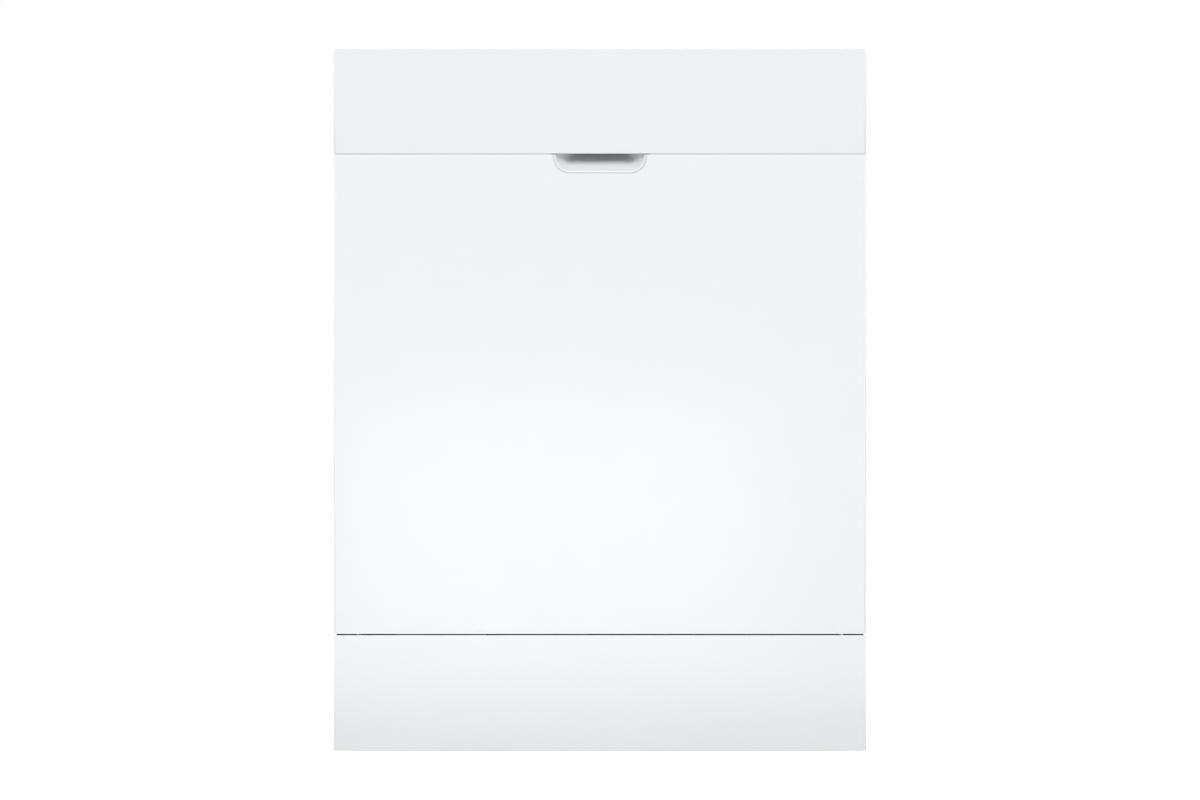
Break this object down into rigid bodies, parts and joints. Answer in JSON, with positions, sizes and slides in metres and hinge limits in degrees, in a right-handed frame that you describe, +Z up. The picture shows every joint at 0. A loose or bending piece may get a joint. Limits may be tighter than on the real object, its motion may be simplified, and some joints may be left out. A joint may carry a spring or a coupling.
{
  "type": "dishwasher",
  "caption": "White under-counter dishwasher with a drop-down door, recessed grip, flush kickplate, steel tub, sliding racks and spray arms.",
  "frame": {"origin": "on the floor, under the middle of the machine's box", "axes": "+X to the right seen from the front, +Y to the rear, +Z up; the door faces -Y"},
  "size_m": [0.596, 0.57, 0.787],
  "materials": {
    "white_panel": "smooth white enamel",
    "white_plastic": "satin white moulding",
    "control_plastic": "satin light grey moulding",
    "button_plastic": "satin grey moulding",
    "stainless": "brushed stainless sheet",
    "galvanised": "zinc-coated sheet",
    "spring_steel": "bright wire",
    "base_plastic": "dark moulded plastic",
    "tub_plastic": "grey moulded plastic",
    "grey_plastic": "grey moulded plastic",
    "rinse_plastic": "blue-grey moulded plastic",
    "pale_plastic": "pale moulded plastic",
    "motor": "cast housing",
    "rack_coating": "grey nylon-coated wire",
    "seal": "soft black seal",
    "window": "dark window"
  },
  "bodies": {
    "cabinet": {"base_pan": "base_plastic", "kickplate": "white_panel", "side_panel_left": "galvanised", "side_panel_right": "galvanised", "rear_panel": "galvanised", "top_panel": "galvanised", "hinge_brackets": "galvanised", "door_springs": "spring_steel", "tub_wrapper": "stainless", "tub_rear_wall": "stainless", "tub_floor": "tub_plastic", "door_gasket": "seal", "door_strike": "galvanised", "sump": "base_plastic", "circulation_pump": "motor", "water_heater": "motor", "arm_post": "grey_plastic", "drain_pump": "motor", "drain_pipe": "pale_plastic", "filter_plate": "stainless", "softener": "pale_plastic", "inlet_valve": "pale_plastic", "air_break": "pale_plastic", "terminal_box": "base_plastic", "outer_rails": "galvanised", "feed_duct": "grey_plastic"},
    "door": {"door_outer_panel": "white_panel", "handle_pocket": "white_plastic", "fascia": "white_plastic", "door_liner": "stainless", "door_screws": "spring_steel", "hinge_arms": "galvanised", "door_latch": "base_plastic", "control_strip": "control_plastic", "display_window": "window", "control_module": "pale_plastic", "dispenser": "grey_plastic"},
    "left_front_foot": {"foot_front_left": "base_plastic"},
    "right_front_foot": {"foot_front_right": "base_plastic"},
    "rear_feet": {"feet_rear": "base_plastic"},
    "lower_arm": {"lower_spray_arm": "grey_plastic"},
    "filter": {"filter_cup": "grey_plastic"},
    "salt_lid": {"salt_cap": "rinse_plastic"},
    "power_key": {"power_button": "button_plastic"},
    "program_key": {"program_button": "button_plastic"},
    "option_key": {"option_button": "button_plastic"},
    "start_key": {"start_button": "button_plastic"},
    "detergent_lid": {"dispenser_lid": "grey_plastic"},
    "rinse_lid": {"rinse_aid_cap": "rinse_plastic"},
    "slide_rails": {"middle_rails": "galvanised"},
    "top_rack": {"upper_rack": "rack_coating", "inner_rails": "galvanised", "upper_feed_pipe": "grey_plastic"},
    "top_arm": {"upper_spray_arm": "grey_plastic"},
    "shelf": {"cup_shelf": "rack_coating"},
    "bottom_rack": {"lower_rack": "rack_coating", "cutlery_basket": "grey_plastic"},
    "tine_row": {"folding_tines": "rack_coating"},
    "front_wheels": {"wheels_front": "grey_plastic"},
    "rear_wheels": {"wheels_rear": "grey_plastic"}
  },
  "joints": [
    {"name": "door_hinge", "type": "hinge", "parent": "cabinet", "child": "door", "pos_m": [0, -0.269, 0.1915], "axis": [1, 0, 0], "range_deg": [0, 90], "stiffness_Nm_per_rad": 13.5, "deforming": ["door_springs"]},
    {"name": "top_rack_slide", "type": "slide", "parent": "cabinet", "child": "top_rack", "axis": [0, -1, 0], "range_m": [0, 0.42]},
    {"name": "rail_slide", "type": "slide", "parent": "cabinet", "child": "slide_rails", "axis": [0, -1, 0], "range_m": [0, 0.21]},
    {"name": "bottom_rack_slide", "type": "slide", "parent": "cabinet", "child": "bottom_rack", "axis": [0, -1, 0], "range_m": [0, 0.079]},
    {"name": "front_wheel_roll", "type": "hinge", "parent": "bottom_rack", "child": "front_wheels", "pos_m": [0, -0.13, 0.2483], "axis": [1, 0, 0], "continuous": true},
    {"name": "rear_wheel_roll", "type": "hinge", "parent": "bottom_rack", "child": "rear_wheels", "pos_m": [0, 0.14, 0.2483], "axis": [1, 0, 0], "continuous": true},
    {"name": "tine_fold", "type": "hinge", "parent": "bottom_rack", "child": "tine_row", "pos_m": [-0.13389, 0.065, 0.2538], "axis": [0, -1, 0], "range_deg": [0, 88]},
    {"name": "shelf_fold", "type": "hinge", "parent": "top_rack", "child": "shelf", "pos_m": [-0.226, 0.005, 0.605], "axis": [0, -1, 0], "range_deg": [0, 80]},
    {"name": "top_arm_spin", "type": "hinge", "parent": "top_rack", "child": "top_arm", "pos_m": [0, 0.005, 0.482], "axis": [0, 0, 1], "continuous": true},
    {"name": "lower_arm_spin", "type": "hinge", "parent": "cabinet", "child": "lower_arm", "pos_m": [0, 0.01, 0.222], "axis": [0, 0, 1], "continuous": true},
    {"name": "filter_turn", "type": "hinge", "parent": "cabinet", "child": "filter", "pos_m": [0.055, -0.075, 0.2], "axis": [0, 0, 1], "range_deg": [0, 90]},
    {"name": "salt_cap_turn", "type": "hinge", "parent": "cabinet", "child": "salt_lid", "pos_m": [-0.165, -0.11, 0.21], "axis": [0, 0, 1], "range_deg": [0, 540]},
    {"name": "detergent_lid_slide", "type": "slide", "parent": "door", "child": "detergent_lid", "axis": [1, 0, 0], "range_m": [0, 0.07]},
    {"name": "rinse_cap_turn", "type": "hinge", "parent": "door", "child": "rinse_lid", "pos_m": [0.085, -0.229, 0.555], "axis": [0, 1, 0], "range_deg": [0, 90]},
    {"name": "power_press", "type": "slide", "parent": "door", "child": "power_key", "axis": [0, 0, -1], "range_m": [0, 0.0015], "stiffness_N_per_m": 800, "springref_m": -0.0005},
    {"name": "program_press", "type": "slide", "parent": "door", "child": "program_key", "axis": [0, 0, -1], "range_m": [0, 0.0015], "stiffness_N_per_m": 800, "springref_m": -0.0005},
    {"name": "option_press", "type": "slide", "parent": "door", "child": "option_key", "axis": [0, 0, -1], "range_m": [0, 0.0015], "stiffness_N_per_m": 800, "springref_m": -0.0005},
    {"name": "start_press", "type": "slide", "parent": "door", "child": "start_key", "axis": [0, 0, -1], "range_m": [0, 0.0015], "stiffness_N_per_m": 800, "springref_m": -0.0005},
    {"name": "left_foot_screw", "type": "slide", "parent": "cabinet", "child": "left_front_foot", "axis": [0, 0, -1], "range_m": [0, 0.05]},
    {"name": "right_foot_screw", "type": "slide", "parent": "cabinet", "child": "right_front_foot", "axis": [0, 0, -1], "range_m": [0, 0.05]},
    {"name": "rear_feet_screw", "type": "slide", "parent": "cabinet", "child": "rear_feet", "axis": [0, 0, -1], "range_m": [0, 0.05]}
  ],
  "couplings": [
    {"joint": "top_rack_slide", "follows": "door_hinge", "m_per_rad": 0.2673},
    {"joint": "rail_slide", "follows": "door_hinge", "m_per_rad": 0.13365},
    {"joint": "bottom_rack_slide", "follows": "door_hinge", "m_per_rad": 0.05}
  ]
}
